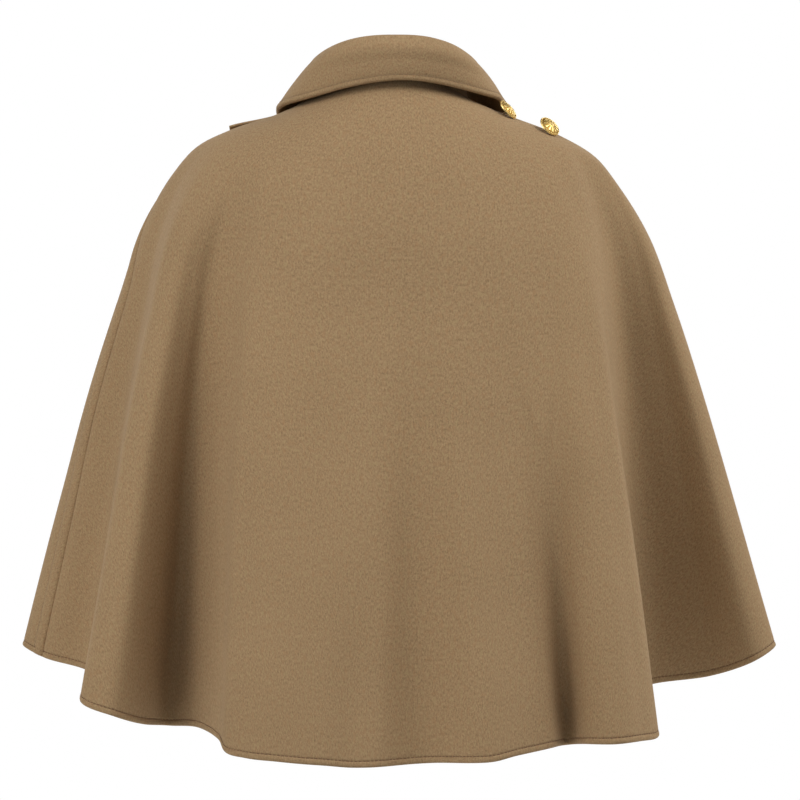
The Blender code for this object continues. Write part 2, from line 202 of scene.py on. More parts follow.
# small creases on top of the folds: soft troughs, or ridges where the depth is below 0
# columns: topBearing, endBearing, fromShare, toShare, halfWidth, depth
creaseRows = (
    (24, 20, 0.10, 0.55, 20, 0.9),
    (12, 9, 0.16, 0.70, 26, 0.8),
    (-6, -5, 0.30, 0.95, 24, 1.0),
    (-20, -16, 0.12, 0.50, 19, 0.9),
    (-33, -30, 0.20, 0.62, 17, 1.1),
    (38, 34, 0.08, 0.34, 15, 1.0),
    (52, 56, 0.10, 0.38, 13, -0.8),
    (66, 62, 0.34, 0.80, 11, 0.7),
    (-44, -40, 0.40, 0.86, 12, 0.9),
    (-58, -53, 0.09, 0.32, 14, 0.9),
    (-64, -62, 0.48, 0.90, 9, 0.6),
    (-80, -78, 0.16, 0.46, 13, 0.8),
    (80, 84, 0.46, 0.92, 10, 0.7),
    (17, 19, 0.72, 1.10, 14, 0.9),
    (-11, -13, 0.66, 1.10, 12, 0.8),
    (8, 9, 0.80, 1.12, 13, 3.2),
    (-1, -2, 0.42, 1.12, 17, 4.2),
    (-10, -10, 0.45, 1.12, 16, -2.4),
    (-31, -32, 0.48, 1.05, 17, 3.0),
    (-41, -42, 0.45, 1.10, 12, -2.0),
    (3, 4, 0.70, 1.12, 9, -1.2),
    (-17, -19, 0.50, 0.90, 18, 2.4),
    (112, 116, 0.12, 0.44, 15, 1.1),
    (126, 124, 0.26, 0.70, 17, 0.9),
    (139, 142, 0.14, 0.48, 14, 1.0),
    (150, 147, 0.52, 0.98, 12, 0.8),
    (163, 160, 0.18, 0.60, 16, 0.7),
    (-112, -117, 0.14, 0.50, 15, 1.0),
    (-125, -122, 0.34, 0.78, 16, 0.9),
    (-141, -139, 0.12, 0.42, 14, 1.1),
    (-152, -150, 0.48, 0.94, 13, 0.8),
    (-160, -163, 0.20, 0.58, 15, 0.7),
)

# the slow unevenness of heavy cloth: waves round and down the cape, by number, with their height in mm
# columns: around, down, phase, size
rippleRows = ((5.0, 2.3, 0.4, 0.30), (9.0, -3.1, 1.9, 0.22), (14.0, 4.7, 3.3, 0.16), (23.0, 6.1, 5.2, 0.10))
rippleEase = (0.08, 0.3)


def clothHeight(bearing, share, perDegree):
    height = np.zeros(bearing.shape)
    for topBearing, endBearing, fromShare, toShare, halfWidth, depth in creaseRows:
        t = np.clip((share - fromShare) / (toShare - fromShare), 0, 1)
        middle = topBearing + (endBearing - topBearing) * t
        across = ((bearing - middle + 180) % 360 - 180) * perDegree
        height -= depth * mm * np.exp(-((across / (halfWidth * mm)) ** 2)) * np.sin(math.pi * t)
    for around, down, phase, size in rippleRows:
        wave = np.sin(np.radians(bearing) * around + share * down * math.pi + phase)
        height += size * mm * wave * smoothStep(*rippleEase, share)
    return height


# cloth shells
clothSettings = {
    "thick": 2.5 * mm,
    "seamLap": 0.8 * mm,        # how far two rims run into one another where they are sewn
    "edgeRound": 1.5 * mm,      # how far in from an edge the wall has its full thickness
    "ringAngle": 167.0,         # degrees of a flat ring that the whole cape is cut from
    "ringInside": 156.0 * mm,
    "length": 604.0 * mm,
}
turnedEdge = {                  # hem and front edges: turned in and stitched down
    "stitchAt": 5.2 * mm,
    "bulge": 0.35 * mm,
    "dip": 0.50 * mm,
    "dipWidth": 0.75 * mm,
    "turn": 0.8 * mm,
    "turnEase": (0.5 * mm, 3.5 * mm),
}
# rows of the mesh beside an edge, in mm from it
edgeStops = (0, 0.1, 0.35, 0.8, 1.5)
plainStops = edgeStops + (2.6, 4.2, 6.5)
fineSteps = np.array(edgeStops + (2.4, 3.4, 4.2, 4.8, 5.3, 5.8, 6.4, 7.0, 7.8, 9.0, 10.8, 13.5)) * mm
plainSteps = np.array(plainStops) * mm
weltSteps = np.array(plainStops + (8.6, 9.7, 10.5, 11.1, 11.7, 12.4, 13.3, 14.6, 16.5)) * mm
# points taken along a line to measure it or to sew it
sampleCounts = {"row": 1401, "hem": 2400, "edge": 1200, "collarEdge": 1600, "collarEnd": 300, "tabSide": 160}


def roundOff(distance):
    return np.sqrt(1 - (1 - np.clip(distance / clothSettings["edgeRound"], 0, 1)) ** 2)


def turnedBand(distance, edge=turnedEdge):
    bulge = edge["bulge"] * np.sin(math.pi * np.clip(distance / edge["stitchAt"], 0, 1))
    dip = edge["dip"] * np.exp(-(((distance - edge["stitchAt"]) / edge["dipWidth"]) ** 2))
    easeFrom, easeTo = edge["turnEase"]
    turn = edge["turn"] * (1 - smoothStep(edge["stitchAt"] + easeFrom, edge["stitchAt"] + easeTo, distance))
    return bulge - dip, -turn


def flatCut(bearing, share, grainBearing):
    angle = np.radians((bearing - grainBearing) * clothSettings["ringAngle"] / 360)
    reach = clothSettings["ringInside"] + share * clothSettings["length"]
    return np.stack([reach * np.sin(angle), -reach * np.cos(angle)], -1)


def makeMesh(name, points, faces, finish, cutPlaces=None):
    mesh = bpy.data.meshes.new(name)
    mesh.from_pydata(points.tolist(), [], faces)
    mesh.shade_smooth()
    if cutPlaces is not None:
        corners = np.empty(len(mesh.loops), int)
        mesh.loops.foreach_get("vertex_index", corners)
        mesh.uv_layers.new(name="cut").data.foreach_set("uv", cutPlaces[corners].ravel())
    mesh.materials.append(finish)
    made = bpy.data.objects.new(name, mesh)
    bpy.context.scene.collection.objects.link(made)
    return made


def makeShell(name, base, normal, outer, inner, shape, cut, finish):
    # two skins that draw together and share their rim, so that every edge is round and closed
    middle, half = (outer + inner) / 2, (outer - inner) / 2
    outerPoints = base + normal * (middle + half * shape)[..., None]
    innerPoints = base + normal * (middle - half * shape)[..., None]
    rows, columns = outer.shape
    outerIds = np.arange(rows * columns).reshape(rows, columns)
    innerIds = outerIds.copy()
    innerCount = (rows - 2) * (columns - 2)
    innerIds[1:-1, 1:-1] = rows * columns + np.arange(innerCount).reshape(rows - 2, columns - 2)
    points = np.concatenate([outerPoints.reshape(-1, 3), innerPoints[1:-1, 1:-1].reshape(-1, 3)])
    places = np.concatenate([cut.reshape(-1, 2), cut[1:-1, 1:-1].reshape(-1, 2)])
    outside = np.stack([outerIds[:-1, :-1], outerIds[:-1, 1:], outerIds[1:, 1:], outerIds[1:, :-1]], -1)
    inside = np.stack([innerIds[:-1, :-1], innerIds[1:, :-1], innerIds[1:, 1:], innerIds[:-1, 1:]], -1)
    faces = np.concatenate([outside.reshape(-1, 4), inside.reshape(-1, 4)])
    print(f"{name}: {len(faces)} faces")
    return makeMesh(name, points, faces.tolist(), finish, places)


def wornAs(piece, node):
    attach(piece, "root")
    if node:
        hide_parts(node)
    return piece


# sewing: short threads in a row, lying in the dip that they pull into the cloth
threadSettings = {
    "pitch": 3.4 * mm,
    "long": 3.1 * mm,
    "radius": 0.29 * mm,
    "sides": 5,
    "seat": 0.15 * mm,          # height over the bottom of the dip
}
threadStations = np.array((0.0, 0.22, 0.5, 0.78, 1.0))
threadSwell = np.array((0.35, 0.9, 1.0, 0.9, 0.35))
threadHeight = np.array((-0.35, 0.12, 0.26, 0.12, -0.35)) * mm


def sewRow(name, points, normals, finish, settings=threadSettings):
    length = runAlong(points)
    count = int(length[-1] / settings["pitch"])
    pitch = length[-1] / count
    starts = (np.arange(count) + 0.5) * pitch - settings["long"] / 2
    at = starts[:, None] + threadStations * settings["long"]

    def along(values):
        return np.stack([np.interp(at, length, values[:, k]) for k in range(3)], -1)

    middle, up = along(points), unit(along(normals))
    run = np.broadcast_to(unit(middle[:, -1:] - middle[:, :1]), middle.shape)
    side = np.cross(run, up)
    middle = middle + up * threadHeight[:, None]
    turn = np.arange(settings["sides"]) * math.tau / settings["sides"]
    ring = side[:, :, None] * np.cos(turn)[:, None] + up[:, :, None] * np.sin(turn)[:, None]
    thread = middle[:, :, None] + ring * (settings["radius"] * threadSwell)[:, None, None]
    stations, sides = len(threadStations), settings["sides"]
    ids = np.arange(thread[..., 0].size).reshape(count, stations, sides)
    after = np.roll(ids, -1, axis=2)
    walls = np.stack([ids[:, :-1], after[:, :-1], after[:, 1:], ids[:, 1:]], -1).reshape(-1, 4).tolist()
    caps = ids[:, 0, ::-1].tolist() + ids[:, -1].tolist()
    made = makeMesh(name, thread.reshape(-1, 3), walls + caps, finish)
    return wornAs(made, None)


# shader sums: a wire is one node output, and arithmetic on wires adds the nodes
class Wire:
    def __init__(self, finish, socket):
        self.finish = finish
        self.socket = socket

    def combine(self, operation, first, second):
        return self.finish.node("ShaderNodeMath", {"operation": operation}, {0: first, 1: second})

    def __add__(self, other):
        return self.combine("ADD", self, other)

    def __radd__(self, other):
        return self.combine("ADD", other, self)

    def __sub__(self, other):
        return self.combine("SUBTRACT", self, other)

    def __rsub__(self, other):
        return self.combine("SUBTRACT", other, self)

    def __mul__(self, other):
        return self.combine("MULTIPLY", self, other)


class Finish:
    def __init__(self, name):
        self.material = bpy.data.materials.new(name)
        self.material.use_nodes = True
        self.tree = self.material.node_tree
        self.shader = self.tree.nodes["Principled BSDF"]

    def put(self, socket, value):
        if isinstance(value, Wire):
            self.tree.links.new(value.socket, socket)
        else:
            socket.default_value = value

    def node(self, kind, settings=None, sockets=None, out=0):
        made = self.tree.nodes.new(kind)
        for key, value in (settings or {}).items():
            setattr(made, key, value)
        for key, value in (sockets or {}).items():
            self.put(made.inputs[key], value)
        return Wire(self, made.outputs[out])

    def noise(self, place, scale, detail, roughness):
        sockets = {"Vector": place, "Scale": scale, "Detail": detail, "Roughness": roughness}
        return self.node("ShaderNodeTexNoise", {}, sockets)

    def spread(self, value, low, high):
        sockets = {"Value": value, "From Min": low, "From Max": high}
        return self.node("ShaderNodeMapRange", {"clamp": True}, sockets)

    def mixColour(self, amount, first, second):
        return self.node("ShaderNodeMix", {"data_type": "RGBA"}, {0: amount, 6: first, 7: second}, out=2)

    def bump(self, height, strength, distance):
        sockets = {"Strength": strength, "Distance": distance, "Height": height}
        return self.node("ShaderNodeBump", {}, sockets)

    def shade(self, values):
        for key, value in values.items():
            self.put(self.shader.inputs[key], value)


# milled camel wool: a short felted nap brushed down the cloth, over a weave that hardly shows
woolSettings = {
    "shade": (0.225, 0.140, 0.068, 1),
    "light": (0.450, 0.294, 0.153, 1),
    "rust": (0.360, 0.200, 0.090, 1),
    "straw": (0.385, 0.275, 0.130, 1),
    "napStretch": (1.0, 0.46, 1.0),
    "nap": (880.0, 3.0, 0.6),           # scale, detail and roughness of each noise
    "fibre": (1800.0, 2.0, 0.6),
    "felt": (300.0, 2.0, 0.5),
    "hue": (380.0, 2.0, 0.5),
    "cloud": (11.0, 2.0, 0.5),
    "toneParts": {"nap": 1.90, "fibre": 1.00, "felt": 0.40, "cloud": 0.25},
    "heightParts": {"nap": 0.55, "fibre": 0.30, "felt": 0.45},
    "rustRange": (0.52, 0.70),
    "strawRange": (0.48, 0.32),
    "hueAmount": 0.40,
    "bump": (0.5, 0.5 * mm),            # strength and depth
    "roughness": 0.93,
    "napGloss": 0.10,
    "specular": 0.25,
    "sheen": 0.14,
    "sheenRoughness": 0.45,
    "sheenTint": (0.95, 0.76, 0.52, 1),
}


def makeWool(name, settings):
    wool = Finish(name)
    cut = wool.node("ShaderNodeUVMap", {"uv_map": "cut"})
    place = wool.node("ShaderNodeTexCoord", out="Object")
    brushed = wool.node("ShaderNodeMapping", {}, {"Vector": cut, "Scale": settings["napStretch"]})
    places = {"nap": brushed, "fibre": cut, "felt": cut, "hue": brushed, "cloud": place}
    noises = {key: wool.noise(where, *settings[key]) for key, where in places.items()}
    tone = 0.5
    for key, weight in settings["toneParts"].items():
        tone = tone + (noises[key] - 0.5) * weight
    height = 0.0
    for key, weight in settings["heightParts"].items():
        height = height + noises[key] * weight
    rusty = wool.spread(noises["hue"], *settings["rustRange"]) * settings["hueAmount"]
    strawy = wool.spread(noises["hue"], *settings["strawRange"]) * settings["hueAmount"]
    colour = wool.mixColour(tone, settings["shade"], settings["light"])
    colour = wool.mixColour(rusty, colour, settings["rust"])
    colour = wool.mixColour(strawy, colour, settings["straw"])
    wool.shade({
        "Base Color": colour,
        "Roughness": settings["roughness"] - (noises["nap"] - 0.5) * settings["napGloss"],
        "Specular IOR Level": settings["specular"],
        "Sheen Weight": settings["sheen"],
        "Sheen Roughness": settings["sheenRoughness"],
        "Sheen Tint": settings["sheenTint"],
        "Normal": wool.bump(height, *settings["bump"]),
    })
    return wool.material


# sewing thread with a twist: a redder brown for the hem and fronts, the wool's own tone elsewhere
hemThread = {"shade": (0.115, 0.049, 0.022, 1), "light": (0.240, 0.120, 0.056, 1)}
toneThread = {"shade": (0.235, 0.148, 0.072, 1), "light": (0.370, 0.240, 0.126, 1)}
twistSettings = {"twist": (2600.0, 1.0, 0.5), "bump": (0.4, 0.1 * mm), "roughness": 0.62, "gloss": 0.2}


def makeThread(name, tones, settings=twistSettings):
    thread = Finish(name)
    place = thread.node("ShaderNodeTexCoord", out="Object")
    twist = thread.noise(place, *settings["twist"])
    thread.shade({
        "Base Color": thread.mixColour(twist, tones["shade"], tones["light"]),
        "Roughness": settings["roughness"] + (twist - 0.5) * settings["gloss"],
        "Normal": thread.bump(twist, *settings["bump"]),
    })
    return thread.material


# gilt metal: bright on what stands up, browner where it is sunk, with fine handling marks
giltSettings = {
    "bright": (0.96, 0.72, 0.28, 1),
    "sunk": (0.45, 0.27, 0.07, 1),
    "marks": (900.0, 3.0, 0.6),
    "markAmount": 0.5,
    "brightRange": (0.15, 0.75),
    "bump": (0.25, 0.1 * mm),
    "roughness": 0.58,
    "polish": 0.14,
    "markGloss": 0.12,
}


def makeGilt(settings):
    gilt = Finish("giltMetal")
    raised = gilt.node("ShaderNodeAttribute", {"attribute_name": "raised"}, out="Fac")
    place = gilt.node("ShaderNodeTexCoord", out="Object")
    marks = gilt.noise(place, *settings["marks"])
    marked = marks - 0.5
    bright = gilt.spread(raised + marked * settings["markAmount"], *settings["brightRange"])
    gilt.shade({
        "Base Color": gilt.mixColour(bright, settings["sunk"], settings["bright"]),
        "Metallic": 1.0,
        "Roughness": settings["roughness"] - bright * settings["polish"] + marked * settings["markGloss"],
        "Normal": gilt.bump(marks, *settings["bump"]),
    })
    return gilt.material


woolFinish = makeWool("camelWool", woolSettings)
hemFinish = makeThread("brownThread", hemThread)
toneFinish = makeThread("camelThread", toneThread)
giltFinish = makeGilt(giltSettings)
print("finishes made")


# panels of the cape
panelSettings = {
    "rowStep": 5.6 * mm,
    "backColumns": 300,
    "frontColumns": 150,
    "leftSeam": (96.0, 85.1),       # bearings at the shoulder and at the hem
    "rightSeam": (-97.0, -97.0),
    "seamSwing": (0.2, 0.45),
    "weltWidth": 12.1 * mm,
    "weltEase": (-0.4 * mm, 1.6 * mm),
    "weltRise": 1.0 * mm,
    "weltDip": 1.2 * mm,
    "weltDipWidth": 1.7 * mm,
    "weltStitch": 0.6 * mm,         # the stitching's distance in from the welt's edge
    "ditch": 1.4 * mm,              # the cloth rolls in where the seam is sewn
    "ditchWidth": 2.4 * mm,
    "weltStart": (0.16, 0.24),
    "seamSewingTop": 0.22,
    "edgeSewingTop": {"left": 0.03, "right": 0.05},
    "lap": 30.0 * mm,               # each front runs this far past centre front
    "lapSpace": 1.5 * mm,
    "lapEase": (2.0, 26.0),
    "lapTop": 0.02,
    "lapTopEase": (-155, -115),
}


def seamBearing(seam, share):
    shoulder, hem = seam
    return shoulder + (hem - shoulder) * smoothStep(*panelSettings["seamSwing"], share)


def lapBearing(share):
    frontY = ringRows[:, [ringColumns.index("frontY")]]
    frontReach = spline(ringRows[:, 0], frontY, share)[..., 0] * mm
    return np.degrees(np.arcsin(panelSettings["lap"] / frontReach))


def halfLap(bearing, share):
    across = capePoint(bearing + 0.5, share) - capePoint(bearing - 0.5, share)
    return 0.5 * clothSettings["seamLap"] / lengthOf(across)


def hemRows():
    length = clothSettings["length"]
    fromHem = 1 - fineSteps / length
    fromNeck = plainSteps / length
    count = round((fromHem[-1] - fromNeck[-1]) * length / panelSettings["rowStep"])
    between = np.linspace(fromNeck[-1], fromHem[-1], count + 1)[1:-1]
    return np.concatenate([fromNeck, between, fromHem[::-1]])


def spacedColumns(share, first, last, firstSteps, lastSteps, count):
    # bearings along each row by length: close together at both edges, even between
    bearing = first[:, None] + (last - first)[:, None] * np.linspace(0, 1, sampleCounts["row"])
    steps = lengthOf(np.diff(capePoint(bearing, share[:, None]), axis=1))
    length = np.concatenate([np.zeros((len(share), 1)), np.cumsum(steps, axis=1)], axis=1)
    whole = length[:, -1:]
    room = whole - firstSteps[-1] - lastSteps[-1]
    stops = np.concatenate([
        np.broadcast_to(firstSteps, (len(share), len(firstSteps))),
        firstSteps[-1] + room * np.linspace(0, 1, count + 1)[1:-1],
        whole - lastSteps[::-1],
    ], axis=1)
    places = np.stack([np.interp(stop, run, turn) for stop, run, turn in zip(stops, length, bearing)])
    return places, stops, whole - stops


def makePanel(name, node, first, last, count, grainBearing, edges, lift=None, top=None):
    rows = hemRows()
    steps = {"seam": plainSteps, "welt": weltSteps, "turned": fineSteps}
    bearing, fromFirst, fromLast = spacedColumns(
        rows, first(rows), last(rows), steps[edges[0]], steps[edges[1]], count
    )
    start = np.zeros(bearing.shape) if top is None else top(bearing)
    share = start + (1 - start) * rows[:, None]
    across, along = slopesOf(capePoint, bearing, share)
    perShare = lengthOf(along)
    fromHem, fromNeck = (1 - share) * perShare, (share - start) * perShare
    base = clothHeight(bearing, share, lengthOf(across))
    if lift is not None:
        base = base + lift(bearing, share)
    hemOut, hemIn = turnedBand(fromHem)
    outer, inner = base + hemOut, base - clothSettings["thick"] + hemIn
    for kind, distance in zip(edges, (fromFirst, fromLast)):
        if kind == "turned":
            bandOut, bandIn = turnedBand(distance)
            outer, inner = outer + bandOut, np.minimum(inner, base - clothSettings["thick"] + bandIn)
        else:
            outer = outer - panelSettings["ditch"] * np.exp(-((distance / panelSettings["ditchWidth"]) ** 2))
        if kind == "welt":
            outer = outer + weltHeight(distance, share)
    shape = roundOff(np.minimum(np.minimum(fromHem, fromNeck), np.minimum(fromFirst, fromLast)))
    cut = flatCut(bearing, share, grainBearing)
    points, normal = capePoint(bearing, share), normalOf(across, along)
    return wornAs(makeShell(name, points, normal, outer, inner, shape, cut, woolFinish), node)


def weltHeight(distance, share):
    width = panelSettings["weltWidth"]
    easeFrom, easeTo = panelSettings["weltEase"]
    raised = panelSettings["weltRise"] * (1 - smoothStep(width + easeFrom, width + easeTo, distance))
    fromStitch = distance - width + panelSettings["weltStitch"]
    dip = panelSettings["weltDip"] * np.exp(-((fromStitch / panelSettings["weltDipWidth"]) ** 2))
    return (raised - dip) * smoothStep(*panelSettings["weltStart"], share)


def sewOnCape(name, bearing, share, height, lift=None, finish=hemFinish):
    across, along = slopesOf(capePoint, bearing, share)
    rise = clothHeight(bearing, share, lengthOf(across)) + height
    if lift is not None:
        rise = rise + lift(bearing, share)
    normal = normalOf(across, along)
    return sewRow(name, capePoint(bearing, share) + normal * rise[..., None], normal, finish)


def hemLine(first, last, inset=0.0):
    # a line round the hem at the stitching's height, a little short of both edges
    bearing = np.linspace(first, last, sampleCounts["hem"])
    along = slopesOf(capePoint, bearing, np.ones(bearing.shape))[1]
    share = 1 - turnedEdge["stitchAt"] / lengthOf(along)
    run = runAlong(capePoint(bearing, share))
    keep = (run > inset) & (run < run[-1] - inset)
    return bearing[keep], share[keep]


def edgeLine(edge, inward, distance, topShare, endShare):
    # a line beside an edge, at a fixed distance from it
    share = np.linspace(topShare, endShare, sampleCounts["edge"])
    bearing = edge(share)
    perDegree = lengthOf(slopesOf(capePoint, bearing, share)[0])
    return bearing + inward * distance / perDegree, share


def seamEdge(seam, side):
    # a panel's edge, a little past the line of its seam
    def edge(share):
        bearing = seamBearing(panelSettings[seam], share)
        return bearing + side * halfLap(bearing, share)

    return edge


backRight, backLeft = seamEdge("rightSeam", -1), seamEdge("leftSeam", 1)
leftSide, rightSide = seamEdge("leftSeam", -1), seamEdge("rightSeam", 1)


def leftCentre(share):
    return 180 + lapBearing(share)


def rightCentre(share):
    return -180 - lapBearing(share)


def lapTop(bearing):
    return panelSettings["lapTop"] * (1 - smoothStep(*panelSettings["lapTopEase"], bearing))


def lapLift(bearing, share):
    past = bearing + 180 - lapBearing(share)
    over = clothSettings["thick"] + panelSettings["lapSpace"]
    return over * (1 - smoothStep(*panelSettings["lapEase"], past))


inDip = -turnedEdge["dip"] + threadSettings["seat"]
hemEnd = turnedEdge["stitchAt"]
nearHem = 1 - turnedEdge["stitchAt"] / clothSettings["length"]
weltLine = panelSettings["weltWidth"] - panelSettings["weltStitch"]
inWelt = panelSettings["weltRise"] - panelSettings["weltDip"]
atHem = np.array(1.0)
seamTop, edgeTop = panelSettings["seamSewingTop"], panelSettings["edgeSewingTop"]

back = makePanel("backCloth", "back", backRight, backLeft, panelSettings["backColumns"], 0, ("seam", "seam"))
backSewing = [sewOnCape("backHemSewing", *hemLine(backRight(atHem), backLeft(atHem)), inDip)]

frontLeft = makePanel(
    "frontLeftCloth", "front_left", leftSide, leftCentre, panelSettings["frontColumns"], 180,
    ("welt", "turned")
)
leftHem = hemLine(leftSide(atHem), leftCentre(atHem), hemEnd)
leftEdge = edgeLine(leftCentre, -1, hemEnd, edgeTop["left"], nearHem)
leftWelt = edgeLine(leftSide, 1, weltLine, seamTop, nearHem)
frontLeftSewing = [
    sewOnCape("leftHemSewing", *leftHem, inDip),
    sewOnCape("leftEdgeSewing", *leftEdge, inDip),
    sewOnCape("leftSeamSewing", *leftWelt, inWelt, None, toneFinish),
]

frontRight = makePanel(
    "frontRightCloth", "front_right", rightCentre, rightSide, panelSettings["frontColumns"], -180,
    ("turned", "welt"), lapLift, lapTop
)
rightHem = hemLine(rightCentre(atHem), rightSide(atHem), hemEnd)
rightEdge = edgeLine(rightCentre, 1, hemEnd, edgeTop["right"], nearHem)
rightWelt = edgeLine(rightSide, -1, weltLine, seamTop, nearHem)
frontRightSewing = [
    sewOnCape("rightHemSewing", *rightHem, inDip, lapLift),
    sewOnCape("rightEdgeSewing", *rightEdge, inDip, lapLift),
    sewOnCape("rightSeamSewing", *rightWelt, inWelt, lapLift, toneFinish),
]
print("panels hung and sewn")


# turned-down collar: from its foot inside the neck, up the stand, over the roll and down the fall
collarSettings = {
    "wall": 4.5 * mm,
    "end": 3.0,                     # degrees from centre front to each end
    "pointSpread": 9.0,
    "pointEase": (120, 178),
    "stations": (0.0, 0.36, 0.42, 0.48, 0.74, 1.0),
    "foldRadius": 4.5 * mm,
    "fallHollow": -2.0 * mm,
    "standSpace": 1.0 * mm,
    "standTuck": 2.5 * mm,
    "standInset": 1.5,              # wall thicknesses from the neck seam to its foot
    "columns": 210,
    "rows": 62,
    "fallAt": 0.8,                  # place along it, from foot to edge, where its columns are spaced
    "edgeAt": 0.995,
    "sewingAt": 0.99,
    "endSewing": (0.52, 0.955),
    "thickEase": (0.0, 0.6),
    "beadEase": (0.46, 0.56),
    "edgeBlunt": 0.75,
    "cutReach": 0.09,
}
slopeLimits = (0.001, 0.999)        # slopes are taken just inside its foot and edge
collarTurn = {                      # its edge, pressed to a bead and stitched close
    "stitchAt": 5.4 * mm,
    "bulge": 0.35 * mm,
    "dip": 0.35 * mm,
    "dipWidth": 1.3 * mm,
    "turn": 0.0,
    "turnEase": turnedEdge["turnEase"],
}
rollQuarters = np.array((71, 44.5, 72, 28, 68, 26, 84, -36), float)
# the edge of its fall on the cape; columns: bearing, share, lift
collarEdgeRows = np.array((
    (-180, 0.135, 10),
    (-150, 0.120, 7),
    (-120, 0.085, 6),
    (-105, 0.066, 7.5),
    (-90, 0.047, 8.5),
    (-75, 0.042, 9.8),
    (-60, 0.0385, 9.5),
    (-30, 0.024, 8),
    (0, 0.02, 7.5),
    (30, 0.03, 6.5),
    (60, 0.0525, 5.5),
    (75, 0.060, 5),
    (90, 0.065, 5.2),
    (105, 0.076, 9),
    (120, 0.092, 8.5),
    (150, 0.120, 7),
    (180, 0.135, 10),
))


def capeLifted(bearing, share, lift):
    across, along = slopesOf(capePoint, bearing, share)
    return capePoint(bearing, share) + normalOf(across, along) * np.asarray(lift)[..., None]


def collarMiddle(bearing, along):
    settings = collarSettings
    share, lift = np.moveaxis(splineRound(collarEdgeRows[:, 0], collarEdgeRows[:, 1:], bearing), -1, 0)
    neck = capePoint(bearing, 0.0)
    roll = roundRing(rollQuarters, bearing, formSettings["rollSquareness"])
    lean = settings["pointSpread"] * smoothStep(*settings["pointEase"], np.abs(bearing)) * np.sign(bearing)
    edge = capeLifted(bearing - lean, share, lift * mm)
    out = unit((edge - neck) * [1, 1, 0])
    inset = settings["standInset"] * clothSettings["thick"] + settings["standSpace"]
    foot = neck - out * inset - [0, 0, settings["standTuck"]]
    belowRoll = roll - [0, 0, settings["foldRadius"]]
    standTop = belowRoll - out * settings["foldRadius"]
    fallTop = belowRoll + out * settings["foldRadius"]
    fallMiddle = (fallTop + edge) / 2 - out * settings["fallHollow"]
    stations = (foot, standTop, roll, fallTop, fallMiddle, edge)
    weights = spline(settings["stations"], np.eye(len(stations)), along)
    return sum(weights[..., k, None] * station for k, station in enumerate(stations))


def collarGrid():
    # rows close together at the fall's edge, columns close together at both ends
    settings = collarSettings
    ends = 180 - settings["end"]
    sample = np.linspace(-ends, ends, sampleCounts["row"])
    run = runAlong(collarMiddle(sample, np.full(sample.shape, settings["fallAt"])))
    between = np.linspace(fineSteps[-1], run[-1] - fineSteps[-1], settings["columns"] + 1)[1:-1]
    stops = np.concatenate([fineSteps, between, run[-1] - fineSteps[::-1]])
    bearing = np.interp(stops, run, sample)
    perAlong = lengthOf(slopesOf(collarMiddle, bearing, np.full(bearing.shape, settings["edgeAt"]))[1])
    nearEdge = 1 - fineSteps[:, None] / perAlong
    nearFoot = plainSteps[:len(edgeStops), None] / perAlong
    steps = np.linspace(0, 1, settings["rows"] + 1)[1:-1, None]
    middle = nearFoot[-1] + (nearEdge[-1] - nearFoot[-1]) * steps
    along = np.concatenate([nearFoot, middle, nearEdge[::-1]])
    return np.broadcast_to(bearing, along.shape), along


def collarThick(along):
    thin = clothSettings["thick"]
    return thin + (collarSettings["wall"] - thin) * smoothStep(*collarSettings["thickEase"], along)


def makeCollar():
    bearing, along = collarGrid()
    across, down = slopesOf(collarMiddle, bearing, np.clip(along, *slopeLimits))
    perDegree, perAlong = lengthOf(across), lengthOf(down)
    ends = 180 - collarSettings["end"]
    fromEdge, fromFoot = (1 - along) * perAlong, along * perAlong
    fromEnd = (ends - np.abs(bearing)) * perDegree
    onFall = smoothStep(*collarSettings["beadEase"], along)
    half = collarThick(along) / 2
    edgeBand = turnedBand(fromEdge, collarTurn)[0]
    endBand = turnedBand(fromEnd, collarTurn)[0]
    bead = np.where(fromEdge < fromEnd, edgeBand, endBand) * onFall
    shape = roundOff(np.minimum(np.minimum(fromEdge, fromFoot), fromEnd) * collarSettings["edgeBlunt"])
    cut = np.stack([np.radians(bearing), -along], -1) * collarSettings["cutReach"]
    points, normal = collarMiddle(bearing, along), normalOf(across, down)
    piece = makeShell("collarCloth", points, normal, half + bead, -half, shape, cut, woolFinish)
    return wornAs(piece, "collar")


def sewOnCollar(name, bearing, along):
    across, down = slopesOf(collarMiddle, bearing, np.clip(along, *slopeLimits))
    normal = normalOf(across, down)
    height = collarThick(along) / 2 - collarTurn["dip"] + threadSettings["seat"]
    return sewRow(name, collarMiddle(bearing, along) + normal * height[:, None], normal, toneFinish)


def collarEdgeLine():
    ends = 180 - collarSettings["end"]
    bearing = np.linspace(-ends, ends, sampleCounts["collarEdge"])
    across, down = slopesOf(collarMiddle, bearing, np.full(bearing.shape, collarSettings["sewingAt"]))
    along = 1 - collarTurn["stitchAt"] / lengthOf(down)
    inside = (ends - np.abs(bearing)) * lengthOf(across) > collarTurn["stitchAt"]
    return bearing[inside], along[inside]


def collarEndLine(side):
    along = np.linspace(*collarSettings["endSewing"], sampleCounts["collarEnd"])
    end = np.full(along.shape, side * (180 - collarSettings["end"]))
    across = slopesOf(collarMiddle, end, along)[0]
    return end - side * collarTurn["stitchAt"] / lengthOf(across), along


collar = makeCollar()
collarSewing = [
    sewOnCollar("collarEdgeSewing", *collarEdgeLine()),
    sewOnCollar("collarLeftEndSewing", *collarEndLine(1)),
    sewOnCollar("collarRightEndSewing", *collarEndLine(-1)),
]
print("collar turned and sewn")


# shoulder tab, sewn in under the collar, with its outer end free
tabSettings = {
    "start": 84.0 * mm,
    "end": 146.0 * mm,
    "back": -12.0 * mm,
    "front": -56.0 * mm,
    "space": 0.5 * mm,
    "spring": 4.5 * mm,
    "step": 1.4 * mm,
    "beadShare": 0.8,           # its bead, as a share of the collar's
}


